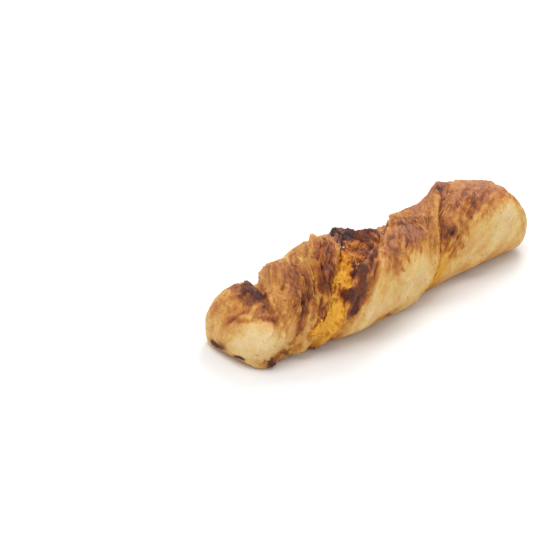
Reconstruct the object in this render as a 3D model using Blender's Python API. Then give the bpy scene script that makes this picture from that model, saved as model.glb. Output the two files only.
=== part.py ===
"""A baked cheese straw: two layers of puff pastry twisted into a stick round a sheet of cheese.

Sizes are in millimetres until a mesh is written, which is in metres with +Z up. The straw lies along X.
A station is a place along the straw. A bearing is an angle round it: 0 faces the front (-Y) and 90 the top.
The wide open edge of the strip is at bearing turn(station), and the narrow seam is half a turn further.
"""

import math

import bmesh
import bpy
import numpy as np

MM = 0.001
NAME = "cheese_straw"

# The outline of the straw: station, half width, half height, sideways shift of the middle.
OUTLINE = (
    (-88.0, 18.8, 11.4, 6.8),
    (-76.0, 20.8, 13.0, 4.2),
    (-64.0, 20.2, 15.3, 3.6),
    (-50.0, 21.7, 18.2, 1.7),
    (-36.0, 23.4, 21.2, -0.3),
    (-18.0, 22.4, 21.2, -1.0),
    (2.0, 19.9, 17.8, 0.6),
    (22.0, 17.9, 18.6, 3.2),
    (44.0, 17.9, 20.9, 5.0),
    (62.0, 18.9, 22.0, 6.0),
    (80.0, 19.3, 20.8, 7.0),
    (102.0, 18.0, 19.0, 7.5),
)
TIP_NEAR = -87.5
TIP_FAR = 101.5
BLUNT_NEAR = 9.0
BLUNT_FAR = 17.0
BLUNT_POWER_NEAR = 2.6
BLUNT_POWER_FAR = 2.3
TIP_RISE_NEAR = 0.62
TIP_RISE_FAR = 0.66
SQUARENESS = 2.3
FOOT_SQUARENESS = 1.9
FOOT_REACH = 13.0

# How far the strip has turned: station, bearing of its open edge. It turns fastest where an edge climbs the front.
TWIST = (
    (-88.0, -122.0),
    (-70.0, -82.0),
    (-54.0, -26.0),
    (-47.0, 15.0),
    (-36.0, 50.0),
    (-15.0, 95.0),
    (12.0, 147.0),
    (20.0, 178.0),
    (28.0, 220.0),
    (42.0, 264.0),
    (58.0, 306.0),
    (74.0, 349.0),
    (102.0, 408.0),
)

# The flat that the straw was baked on.
BASE_SINK = 1.7
BASE_SOFT = 0.9

# The pastry's own relief, as height, bearing from the open edge and width.
LIP_LEFT = (2.2, 33.0, 13.0)
LIP_RIGHT = (1.5, -31.0, 10.0)
VALLEY = (-1.4, 0.0, 15.0)
SEAM_OVERLAP = (1.6, -170.0, 11.0)
SEAM_STEP = (-1.6, 169.0, 10.0)
WAIST_LEFT = (-1.2, 118.0, 26.0)
SEAM_RUN = (1.0, 30.0, 70.0)
RIDGE_HEIGHT = 0.16
RIDGES_ROUND = 13
RIDGE_TORN = (0.75, -54.0, 20.0)
BASE_CALM = 11.0

# Two layer edges that run beside the open edge: height, width, then two places on the run as station, bearing.
LAYER_EDGE = (2.0, 5.0, (-26.5, -3.0), (11.5, 106.0))
LAYER_BEND = 13.0
FLAP_EDGE = (1.7, 6.0, (-66.0, 34.0), (-29.0, 124.0))
BLISTER_HEIGHT = 0.85
BLISTER_COUNT = 26
BLISTER_SEED = 5
RELIEF_FADE = 13.0

# The cheese sheet and its two edges that show.
SHEET_HALF = 1.5
MOUTH_HALF = 4.8
MOUTH_POOL = (4.0, -50.0, 8.0)
MOUTH_CREST = (1.8, -10.0, 14.0)
SEAM_HALF = 1.0
SEAM_POOL = (1.7, 23.0, 8.0)
MOUTH_DEEP = 6.0
SEAM_DEEP = 3.0
RECESS = 1.5
CREST_PROUD = (4.6, -6.0, 13.0)
LUMP_HEIGHT = 1.0
CHEESE_NEAR = -76.0
CHEESE_FAR = 62.0
CHEESE_TAPER = 7.0
TOUCH_GAP = 0.42
CUT_BEYOND = 7.0
LOWEST_CHEESE = 0.9
DEPTHS_MOUTH = (0.2, 1.6, 3.4, 5.6, 8.6)
DEPTHS_SEAM = (8.0, 4.5, 2.2, 0.3)

RING_STEPS = 2000
RING_RADIUS = 14.0
TIP_REACH = 4.0
PASTRY_TIP_WEIGHT = 2.5
PASTRY_RINGS = 84
PASTRY_COLUMNS = 40
CHEESE_RINGS = 62

PASTRY_COLOUR = (0.62, 0.33, 0.12, 1.0)
PASTRY_ROUGHNESS = 0.55
CHEESE_COLOUR = (0.72, 0.25, 0.03, 1.0)
CHEESE_ROUGHNESS = 0.38


def bump(value, height, at, wide):
    """A smooth rise of the given height round a place."""
    return height * np.exp(-(((value - at) / wide) ** 2))


def wrapped(degrees):
    """The same bearing between -180 and 180."""
    return (np.asarray(degrees, float) + 180.0) % 360.0 - 180.0


def ease(value):
    """0 to 1 with level ends."""
    value = np.clip(value, 0.0, 1.0)
    return value * value * (3.0 - 2.0 * value)


def curve(station, table):
    """The columns of a table at a station, joined by a smooth curve through its rows."""
    rows = np.array(table)
    at = rows[:, 0]
    station = np.clip(np.asarray(station, float), at[0], at[-1])
    low = np.clip(np.searchsorted(at, station, side="right") - 1, 0, len(at) - 2)
    span = at[low + 1] - at[low]
    part = (station - at[low]) / span
    found = []
    for column in range(1, rows.shape[1]):
        level = rows[:, column]
        slope = np.gradient(level, at)
        start = (2 * part**3 - 3 * part**2 + 1) * level[low]
        lead = (part**3 - 2 * part**2 + part) * span * slope[low]
        end = (-2 * part**3 + 3 * part**2) * level[low + 1]
        tail = (part**3 - part**2) * span * slope[low + 1]
        found.append(start + lead + end + tail)
    return found


def outline(station):
    """Half width, half height and sideways shift."""
    return curve(station, OUTLINE)


def turn(station):
    """The bearing of the open edge at a station."""
    return curve(station, TWIST)[0]


def closing(station):
    """How far the section has grown from a tip: 0 at a tip, 1 along the body."""
    near = np.clip((station - TIP_NEAR) / BLUNT_NEAR, 0.0, 1.0)
    far = np.clip((TIP_FAR - station) / BLUNT_FAR, 0.0, 1.0)
    near = (1.0 - (1.0 - near) ** BLUNT_POWER_NEAR) ** (1.0 / BLUNT_POWER_NEAR)
    far = (1.0 - (1.0 - far) ** BLUNT_POWER_FAR) ** (1.0 / BLUNT_POWER_FAR)
    return near, far


def blisters(station, bearing):
    """Uneven baking: soft blisters and hollows scattered over the crust."""
    draw = np.random.default_rng(BLISTER_SEED)
    total = np.zeros(np.broadcast(station, bearing).shape)
    for _ in range(BLISTER_COUNT):
        at = draw.uniform(TIP_NEAR, TIP_FAR)
        facing = draw.uniform(-180.0, 180.0)
        height = BLISTER_HEIGHT * draw.uniform(-0.8, 1.0)
        wide = draw.uniform(6.0, 15.0)
        across = wrapped(bearing - facing) * math.pi / 180.0 * 20.0
        total = total + height * np.exp(-((station - at) ** 2 + across**2) / wide**2)
    return total


def relief(station, round_from_edge):
    """Height of the crust above the plain outline at a bearing counted from the open edge."""
    near = wrapped(round_from_edge)
    total = np.zeros(np.broadcast(station, near).shape)
    open_run = ease((CHEESE_FAR + 8.0 - station) / 16.0)
    for height, at, wide in (LIP_LEFT, LIP_RIGHT, VALLEY):
        total = total + bump(wrapped(near - at), height, 0.0, wide) * open_run
    seam_run = bump(station, *SEAM_RUN)
    for height, at, wide in (SEAM_OVERLAP, SEAM_STEP, WAIST_LEFT):
        total = total + bump(wrapped(near - at), height, 0.0, wide) * seam_run
    bearing = near + turn(station)
    total = total + layer_step(station, bearing) + flap_ridge(station, bearing)
    sway = 60.0 * np.sin(station / 13.0 + near / 31.0) + 34.0 * np.sin(station / 6.3 + 1.0 - near / 19.0)
    torn = bump(station, *RIDGE_TORN) * ease((near - 12.0) / 30.0) * ease((165.0 - near) / 30.0)
    total = total + (RIDGE_HEIGHT + torn) * np.sin(np.radians(near * RIDGES_ROUND + sway))
    total = total + blisters(station, bearing)
    ends = ease((station - TIP_NEAR - 2.0) / RELIEF_FADE) * ease((TIP_FAR - 2.0 - station) / RELIEF_FADE)
    return total * (0.15 + 0.85 * ends)


def run_bearing(station, low, high):
    """The bearing of a layer edge that runs straight between two places."""
    return low[1] + (station - low[0]) * (high[1] - low[1]) / (high[0] - low[0])


def layer_step(station, bearing):
    """The outer layer stands proud on the right of its torn edge and sinks back to the body further round."""
    height, wide, low, high = LAYER_EDGE
    bend = bump(station, LAYER_BEND, (low[0] + high[0]) / 2.0, 12.0)
    past = wrapped(run_bearing(station, low, high) + bend - bearing)
    rise = ease((past + wide) / (2.0 * wide)) * np.exp(-np.clip(past, 0.0, None) / 34.0)
    along = ease((station - low[0] + 16.0) / 14.0) * ease((high[0] + 26.0 - station) / 14.0)
    return height * rise * along


def flap_ridge(station, bearing):
    """A thin lifted flap beside the left lip."""
    height, wide, low, high = FLAP_EDGE
    past = wrapped(run_bearing(station, low, high) - bearing)
    rise = np.exp(-np.clip(past, 0.0, None) / (2.2 * wide)) * ease((past + wide) / wide)
    along = ease((station - low[0] + 8.0) / 12.0) * ease((high[0] + 10.0 - station) / 12.0)
    return height * rise * along


def flattened(height):
    """Nothing reaches below the tray, and the crust rounds gently into the flat."""
    height = height - BASE_SINK
    soft = np.maximum(height + BASE_SOFT, 0.0) ** 2 / (4.0 * BASE_SOFT)
    return np.where(height >= BASE_SOFT, height, soft)


def middle(station):
    """The point that the section grows from."""
    _, half_height, shift = outline(station)
    near, far = closing(station)
    rise = (TIP_RISE_NEAR + (1.0 - TIP_RISE_NEAR) * near) * (TIP_RISE_FAR + (1.0 - TIP_RISE_FAR) * far)
    return shift, half_height * rise


def crust(station, round_from_edge, lift=0.0):
    """A point of the pastry's outside."""
    station = np.asarray(station, float)
    bearing = np.radians(turn(station) + round_from_edge)
    front = np.cos(bearing)
    top = np.sin(bearing)
    half_width, half_height, _ = outline(station)
    shift, up = middle(station)
    near, far = closing(station)
    foot = FOOT_SQUARENESS * np.exp(-(((station - TIP_NEAR) / FOOT_REACH) ** 2)) * ease(-2.0 * top)
    power = SQUARENESS + foot
    plump = (np.abs(front) ** power + np.abs(top) ** power) ** (-1.0 / power) * near * far
    calm = 0.3 + 0.7 * ease((up + top * half_height * plump) / BASE_CALM)
    raised = (relief(station, round_from_edge) * calm + lift) * near * far
    across = shift - front * (half_width * plump + raised)
    height = up + top * (half_height * plump + raised)
    return np.stack([station + 0.0 * across, across, flattened(height)], -1)


def reach(station, round_from_edge):
    """How far the crust is from the middle of the sheet, along the sheet."""
    shift, up = middle(station)
    bearing = np.radians(turn(station) + round_from_edge)
    point = crust(station, round_from_edge)
    return (shift - point[..., 1]) * np.cos(bearing) + (point[..., 2] - up + BASE_SINK) * np.sin(bearing)


def lumps(station):
    """The uneven run of melted cheese along an edge."""
    return LUMP_HEIGHT * (np.sin(station / 1.9) + 0.6 * np.sin(station / 3.1 + 1.3))


def sheet_section(station, grown):
    """Points (along the sheet, across it) of the cheese at one station; grown makes the cutter of its slot."""
    gap = TOUCH_GAP if grown else 0.0
    mouth = MOUTH_HALF + bump(station, *MOUTH_POOL) + bump(station, *MOUTH_CREST)
    seam = SEAM_HALF + bump(station, *SEAM_POOL)
    open_at = float(reach(station, 0.0))
    seam_at = float(reach(station, 180.0))
    proud = float(bump(station, *CREST_PROUD))
    open_out = open_at + CUT_BEYOND if grown else open_at - RECESS + proud + lumps(station) * 0.5
    seam_out = seam_at + CUT_BEYOND if grown else seam_at - RECESS * 0.7 + 0.4 * lumps(station + 20.0)
    taper = float(ease((station - CHEESE_NEAR) / CHEESE_TAPER) * ease((CHEESE_FAR - station) / CHEESE_TAPER))
    shrink = 0.35 + 0.65 * taper
    upper = []
    for depth in DEPTHS_MOUTH:
        depth = max(depth, open_at - open_out + 0.2)
        half = SHEET_HALF + (mouth - SHEET_HALF) * math.exp(-((depth / MOUTH_DEEP) ** 2))
        upper.append((open_at - depth, half * shrink + gap))
    upper.append((0.0, SHEET_HALF * shrink + gap))
    for depth in DEPTHS_SEAM:
        depth = max(depth, seam_at - seam_out + 0.2)
        half = SHEET_HALF + (seam - SHEET_HALF) * math.exp(-((depth / SEAM_DEEP) ** 2))
        upper.append((depth - seam_at, half * shrink + gap))
    rim = 1.0 if grown else 0.72
    first = [(open_out, upper[0][1] * rim)]
    last = [(-seam_out, upper[-1][1] * rim)]
    upper = first + upper + last
    bulge = 0.0 if grown else 0.6
    lower = [(along, -across) for along, across in reversed(upper)]
    return [(open_out + bulge, 0.0), *upper, (-seam_out - bulge, 0.0), *lower]


def sheet_point(station, along, across, grown):
    """A point of the sheet's section, placed in the straw and kept above the tray."""
    shift, up = middle(station)
    bearing = math.radians(float(turn(station)))
    out = (-math.cos(bearing), math.sin(bearing))
    side = (math.sin(bearing), math.cos(bearing))
    height = up - BASE_SINK + along * out[1] + across * side[1]
    if not grown:
        height = max(height, LOWEST_CHEESE)
    return (station, float(shift) + along * out[0] + across * side[0], height)


def ring_sphere(columns, rings):
    """A sphere turned so that its poles face along X, with the ring and the column of each vertex."""
    mesh = bmesh.new()
    bmesh.ops.create_uvsphere(mesh, u_segments=columns, v_segments=rings, radius=1.0)
    placed = []
    for vertex in mesh.verts:
        ring = round(math.acos(max(-1.0, min(1.0, vertex.co.z))) / math.pi * rings)
        column = round(math.atan2(vertex.co.y, vertex.co.x) / (2.0 * math.pi) * columns) % columns
        placed.append((vertex, ring, column))
    return mesh, placed


def finished(mesh, name, colour, roughness, collection, smooth=True):
    """An object of the given mesh, closed and facing out."""
    bmesh.ops.recalc_face_normals(mesh, faces=mesh.faces[:])
    if mesh.calc_volume(signed=True) < 0.0:
        bmesh.ops.reverse_faces(mesh, faces=mesh.faces[:])
    data = bpy.data.meshes.new(name)
    mesh.to_mesh(data)
    mesh.free()
    for polygon in data.polygons:
        polygon.use_smooth = smooth
    made = bpy.data.objects.new(name, data)
    collection.objects.link(made)
    if colour:
        material = bpy.data.materials.new(name)
        material.use_nodes = True
        shader = material.node_tree.nodes["Principled BSDF"]
        shader.inputs["Base Color"].default_value = colour
        shader.inputs["Roughness"].default_value = roughness
        shader.inputs["Metallic"].default_value = 0.0
        data.materials.append(material)
    return made


def ring_stations(low, high, rings, tip_weight):
    """Stations of a mesh's rings: closer together where the strip turns fast and where the tips round off."""
    fine = np.linspace(low, high, RING_STEPS)
    turned = np.gradient(np.radians(turn(fine)), fine) * RING_RADIUS
    tips = tip_weight * (np.exp(-(fine - low) / TIP_REACH) + np.exp((fine - high) / TIP_REACH))
    pace = np.sqrt(1.0 + turned**2) + tips
    gone = np.concatenate([[0.0], np.cumsum((pace[1:] + pace[:-1]) / 2.0)])
    return np.interp(np.linspace(0.0, gone[-1], rings + 1), gone, fine)


def pastry_mesh():
    mesh, placed = ring_sphere(PASTRY_COLUMNS, PASTRY_RINGS)
    stations = ring_stations(TIP_NEAR, TIP_FAR, PASTRY_RINGS, PASTRY_TIP_WEIGHT)
    for vertex, ring, column in placed:
        spot = crust(stations[ring], 360.0 * column / PASTRY_COLUMNS)
        vertex.co = [float(part) * MM for part in spot]
    return mesh


def sheet_mesh(grown):
    """The cheese sheet, or, when grown, the cutter that leaves its slot in the pastry."""
    columns = len(sheet_section(0.0, grown))
    mesh, placed = ring_sphere(columns, CHEESE_RINGS)
    sections = {}
    stations = ring_stations(CHEESE_NEAR, CHEESE_FAR, CHEESE_RINGS - 2, 0.0)
    for vertex, ring, column in placed:
        station = float(stations[min(max(ring - 1, 0), CHEESE_RINGS - 2)])
        if ring not in sections:
            sections[ring] = sheet_section(station, grown)
        along, across = sections[ring][column]
        if ring in (0, CHEESE_RINGS):
            along, across = 0.0, 0.0
        point = list(sheet_point(station, along, across, grown))
        beyond = TOUCH_GAP if grown else 0.0
        if ring <= 1:
            point[0] -= beyond + (0.8 if ring == 0 else 0.0)
        if ring >= CHEESE_RINGS - 1:
            point[0] += beyond + (0.8 if ring == CHEESE_RINGS else 0.0)
        vertex.co = [float(part) * MM for part in point]
    return mesh


def cut_slot(body, cutter):
    """Takes the cutter's shape out of the body."""
    modifier = body.modifiers.new("slot", "BOOLEAN")
    modifier.operation = "DIFFERENCE"
    modifier.solver = "EXACT"
    modifier.object = cutter


def centred(objects):
    """Moves the meshes so that the middle of the pastry's box stands over the origin."""
    points = np.array([tuple(vertex.co) for vertex in objects[0].data.vertices])
    low = points.min(axis=0)
    high = points.max(axis=0)
    for item in objects:
        for vertex in item.data.vertices:
            vertex.co.x -= (low[0] + high[0]) / 2.0
            vertex.co.y -= (low[1] + high[1]) / 2.0


def main():
    for item in list(bpy.data.objects):
        bpy.data.objects.remove(item)
    collection = bpy.data.collections.new(NAME)
    bpy.context.scene.collection.children.link(collection)
    tools = bpy.data.collections.new("cutters")
    bpy.context.scene.collection.children.link(tools)
    pastry = finished(pastry_mesh(), "pastry", PASTRY_COLOUR, PASTRY_ROUGHNESS, collection)
    cheese = finished(sheet_mesh(False), "cheese_filling", CHEESE_COLOUR, CHEESE_ROUGHNESS, collection)
    cutter = finished(sheet_mesh(True), "slot_cutter", None, 0.0, tools, smooth=False)
    cutter.hide_render = True
    cutter.display_type = "WIRE"
    centred([pastry, cheese, cutter])
    cut_slot(pastry, cutter)


main()
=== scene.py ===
"""A baked cheese straw: twisted puff pastry with melted cheese along its open edges, on a pale studio floor.

Lengths inside the shaping functions are in millimetres; meshes are written in metres. The straw lies along X.
A station is a place along the straw. A bearing is an angle round it: 0 faces the front (-Y) and 90 the top.
"""

import math

import bmesh
import bpy
import numpy as np
from mathutils import Matrix, Vector


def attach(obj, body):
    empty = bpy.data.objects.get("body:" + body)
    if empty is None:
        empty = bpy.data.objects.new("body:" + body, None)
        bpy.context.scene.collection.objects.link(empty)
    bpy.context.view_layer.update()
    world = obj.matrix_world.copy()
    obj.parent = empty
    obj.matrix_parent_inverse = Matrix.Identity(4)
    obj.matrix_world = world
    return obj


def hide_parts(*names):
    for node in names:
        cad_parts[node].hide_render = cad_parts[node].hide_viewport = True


bl_info = {
    "name": "Cheese straw",
    "version": (1, 0, 0),
    "blender": (4, 5, 0),
    "location": "3D View > Sidebar > Cheese straw",
    "description": "Builds a twisted puff pastry straw with melted cheese between its layers",
    "category": "Add Mesh",
}

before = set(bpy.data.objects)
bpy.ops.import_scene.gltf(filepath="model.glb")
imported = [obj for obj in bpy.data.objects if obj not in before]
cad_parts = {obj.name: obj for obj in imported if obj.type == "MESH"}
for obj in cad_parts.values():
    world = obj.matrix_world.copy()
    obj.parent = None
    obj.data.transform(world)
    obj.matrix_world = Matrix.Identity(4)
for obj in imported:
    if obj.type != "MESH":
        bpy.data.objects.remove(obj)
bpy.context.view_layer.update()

MM = 0.001

# The outline of the straw in mm: station, half width, half height, sideways shift of the middle.
OUTLINE = (
    (-88, 18.8, 11.4, 6.8), (-76, 20.8, 13, 4.2), (-64, 20.2, 15.3, 3.6), (-50, 21.7, 18.2, 1.7),
    (-36, 23.4, 21.2, -0.3), (-18, 22.4, 21.2, -1), (2, 19.9, 17.8, 0.6), (22, 17.9, 18.6, 3.2),
    (44, 17.9, 20.9, 5), (62, 18.9, 21.7, 6), (80, 19.3, 19.8, 7), (102, 18, 16.8, 7.5),
)
# The strip's twist: station, and the bearing of its open edge.
TWIST = (
    (-88, -122), (-70, -82), (-54, -26), (-47, 15), (-36, 50), (-15, 95), (12, 147), (20, 178), (28, 220),
    (42, 264), (58, 306), (74, 349), (102, 408),
)
# The stations of the two tips, and how far the tables' own middle lies from the part's, along and across.
TIP_NEAR = -87.5
TIP_FAR = 101.5
CENTRE_SHIFT = (7, 0.81)
# How long each tip takes to round off, in mm, and how square its rounding is.
TIP_ROUNDING = ((9, 2.6), (17, 2.3))
# The straw's middling radius in mm, and the length of one degree round it.
RADIUS = 20
ARC = math.pi / 180 * RADIUS
# How far the straw has sagged into its flat base in mm, and the station past which its grain is straighter.
SUNK = 1.7
GRAIN_STRAIGHT = 38
# How far apart the edges of the pastry's layers are where they show, in mm.
LAYER_STEP = 1.9
# How baked the crust can be before it darkens more slowly, and before it pales more slowly.
DARK_KNEE = 0.52
PALE_KNEE = 0.16
# Where the lower edge of each end stands off the tray along a slope: the way that the slope faces, its
# distance from the origin in mm, and the places along the straw in mm where it starts and is whole.
LIFTED_EDGES = (
    ((-0.648, -0.087, -0.757), 57.7, 0, -40), ((0.021, -0.628, -0.778), 3.4, 22, 40),
)


def bump(value, height, at, wide):
    """A smooth rise of the given height round a place."""
    return height * np.exp(-(((value - at) / wide) ** 2))


def wrapped(degrees):
    """The same bearing between -180 and 180."""
    return (np.asarray(degrees, float) + 180) % 360 - 180


def ease(value):
    """0 to 1 with level ends."""
    value = np.clip(value, 0, 1)
    return value * value * (3 - 2 * value)


def stretch(station, start, rise, end, fall):
    """1 along a stretch of the straw, easing to 0 at its start and its end."""
    return ease((station - start) / rise) * ease((end - station) / fall)


def curve(station, table):
    """The columns of a table at a station, joined by a smooth curve through its rows."""
    rows = np.array(table, float)
    at = rows[:, 0]
    station = np.clip(np.asarray(station, float), at[0], at[-1])
    low = np.clip(np.searchsorted(at, station, side="right") - 1, 0, len(at) - 2)
    span = at[low + 1] - at[low]
    part = (station - at[low]) / span
    found = []
    for column in range(1, rows.shape[1]):
        level = rows[:, column]
        slope = np.gradient(level, at)
        start = (2 * part**3 - 3 * part**2 + 1) * level[low]
        lead = (part**3 - 2 * part**2 + part) * span * slope[low]
        end = (-2 * part**3 + 3 * part**2) * level[low + 1]
        tail = (part**3 - part**2) * span * slope[low + 1]
        found.append(start + lead + end + tail)
    return found


def turn(station):
    """The bearing of the open edge at a station."""
    return curve(station, TWIST)[0]


def closing(station):
    """How far the section has grown from each tip: 0 at a tip, 1 along the body."""
    grown = []
    for off, (long, square) in zip((station - TIP_NEAR, TIP_FAR - station), TIP_ROUNDING):
        part = np.clip(off / long, 0, 1)
        grown.append((1 - (1 - part) ** square) ** (1 / square))
    return grown


def middle(station):
    """The point that the section grows from: its sideways shift and its height."""
    _, half_height, shift = curve(station, OUTLINE)
    near, far = closing(station)
    return shift, half_height * (0.62 + 0.38 * near) * (0.66 + 0.34 * far)


def lattice(x, y, z, seed):
    """A fixed random value for each whole-numbered place."""
    mixed = (x * 374761393 + y * 668265263 + z * 1442695041 + seed * 974634777) & 0xFFFFFFFF
    mixed = ((mixed ^ (mixed >> 13)) * 1274126177) & 0xFFFFFFFF
    mixed = ((mixed ^ (mixed >> 16)) * 2246822519) & 0xFFFFFFFF
    return ((mixed ^ (mixed >> 15)) & 0xFFFFFF) / float(0xFFFFFF) * 2 - 1


def noise(places, seed):
    """Smooth noise between -1 and 1 at places of shape (..., 3), with one lattice step for each unit."""
    whole = np.floor(places).astype(np.int64)
    part = places - whole
    part = part * part * part * (part * (part * 6 - 15) + 10)
    total = 0
    for corner in range(8):
        dx, dy, dz = corner & 1, corner >> 1 & 1, corner >> 2 & 1
        weight = (part[..., 0] if dx else 1 - part[..., 0]) * (part[..., 1] if dy else 1 - part[..., 1])
        weight = weight * (part[..., 2] if dz else 1 - part[..., 2])
        total = total + weight * lattice(whole[..., 0] + dx, whole[..., 1] + dy, whole[..., 2] + dz, seed)
    return total


def clouds(places, size, seed, octaves=3, rough=0.5):
    """Noise summed over finer and finer steps, about -1 to 1. Size is one step in mm, or one for each axis."""
    total = 0
    share = 1
    whole = 0
    scaled = places / np.asarray(size, float)
    for octave in range(octaves):
        total = total + share * noise(scaled + 17.3 * octave, seed + octave)
        whole += share
        share *= rough
        scaled = scaled * 2.03
    return total / whole * 1.35


def strip_places(station, edge):
    """Places in the untwisted strip: noise read here runs along the layers, and leans less at the far end."""
    past = np.clip(station - GRAIN_STRAIGHT, 0, None)
    slack = turn(station) - turn(GRAIN_STRAIGHT) - 1.4 * past
    angle = np.radians(edge + np.where(past > 0, slack, 0))
    return np.stack([station + 0 * edge, RADIUS * np.cos(angle), RADIUS * np.sin(angle)], -1)


def wavy_strip(station, edge, places):
    """Places in the untwisted strip with the grain swaying gently from side to side."""
    return strip_places(station, edge + 6 * clouds(places, 6.5, 71, 2))


def blisters(station, bearing):
    """Soft blisters and hollows scattered over the crust, where the solid has them."""
    draw = np.random.default_rng(5)
    total = np.zeros(np.broadcast(station, bearing).shape)
    for _ in range(26):
        at = draw.uniform(TIP_NEAR, TIP_FAR)
        facing = draw.uniform(-180, 180)
        height = 0.85 * draw.uniform(-0.8, 1)
        wide = draw.uniform(6, 15)
        across = wrapped(bearing - facing) * ARC
        total = total + height * np.exp(-((station - at) ** 2 + across**2) / wide**2)
    return total


# The torn edge of the outer layer and the flap's edge: the station and bearing of each end.
LAYER_RUN = ((-26.5, -3), (11.5, 106))
FLAP_RUN = ((-66, 34), (-29, 124))


def past_run(station, bearing, run, bend=0):
    """Degrees past a layer edge that runs straight between two places, on its proud side."""
    (low, first), (high, last) = run
    return wrapped(first + (station - low) * (last - first) / (high - low) + bend - bearing)


def open_run(station):
    """1 where the strip's open edge carries cheese, 0 at the closed ends."""
    return stretch(station, -84, 12, 70, 16)


def folds(station, edge):
    """The large relief that the solid also has: lips, seam, layer edges and blisters."""
    near = wrapped(edge)
    bearing = near + turn(station)
    total = np.zeros(np.broadcast(station, near).shape)
    lips = (2.2, 33, 13), (1.5, -31, 10), (-1.4, 0, 15)
    seam = (1.6, -170, 11), (-1.6, 169, 10), (-1.2, 118, 26)
    for rows, along in ((lips, ease((70 - station) / 16)), (seam, bump(station, 1, 30, 70))):
        for height, at, wide in rows:
            total = total + bump(wrapped(near - at), height, 0, wide) * along
    past = past_run(station, bearing, LAYER_RUN, bump(station, 13, -7.5, 12))
    along = stretch(station, -42.5, 14, 37.5, 14)
    total = total + 2 * ease((past + 2.4) / 4.8) * np.exp(-np.clip(past, 0, None) / 34) * along
    past = past_run(station, bearing, FLAP_RUN)
    along = stretch(station, -74, 12, -19, 12)
    total = total + 1.7 * np.exp(-np.clip(past, 0, None) / 13) * ease((past + 3) / 3) * along
    total = total + blisters(station, bearing)
    ends = stretch(station, TIP_NEAR + 2, 13, TIP_FAR - 2, 13)
    return total * (0.15 + 0.85 * ends)


def at_least_zero(value, soft):
    """A value kept from falling below zero, rounded gently over the last soft mm."""
    return np.where(value >= soft, value, np.maximum(value + soft, 0) ** 2 / (4 * soft))


def lifted(places):
    """The lower edges of the two ends, cut back to the slopes that stand off the tray."""
    for away, reach, start, whole in LIFTED_EDGES:
        over = at_least_zero(places @ np.array(away) - reach, 1.2)
        over = over * ease((places[..., 0] - start) / (whole - start))
        places = places - over[..., None] * np.array(away)
    return places


def crust(station, edge, lift=0, sideways=0):
    """A point of the crust at a bearing from the open edge, raised by lift and pushed round by sideways."""
    station = np.asarray(station, float)
    bearing = np.radians(turn(station) + edge)
    front, top = np.cos(bearing), np.sin(bearing)
    half_width, half_height, _ = curve(station, OUTLINE)
    shift, up = middle(station)
    near, far = closing(station)
    power = 2.3 + 1.9 * np.exp(-(((station - TIP_NEAR) / 13) ** 2)) * ease(-2 * top)
    plump = (np.abs(front) ** power + np.abs(top) ** power) ** (-1 / power) * near * far
    calm = 0.3 + 0.7 * ease((up + top * half_height * plump) / 11)
    raised = (folds(station, edge) * calm + lift) * near * far
    across = shift - front * (half_width * plump + raised) + top * sideways
    height = up + top * (half_height * plump + raised) + front * sideways
    places = np.stack([station + 0 * across, across, at_least_zero(height - SUNK, 0.9)], -1)
    return lifted(places - np.array([CENTRE_SHIFT[0], CENTRE_SHIFT[1], 0]))


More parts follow.
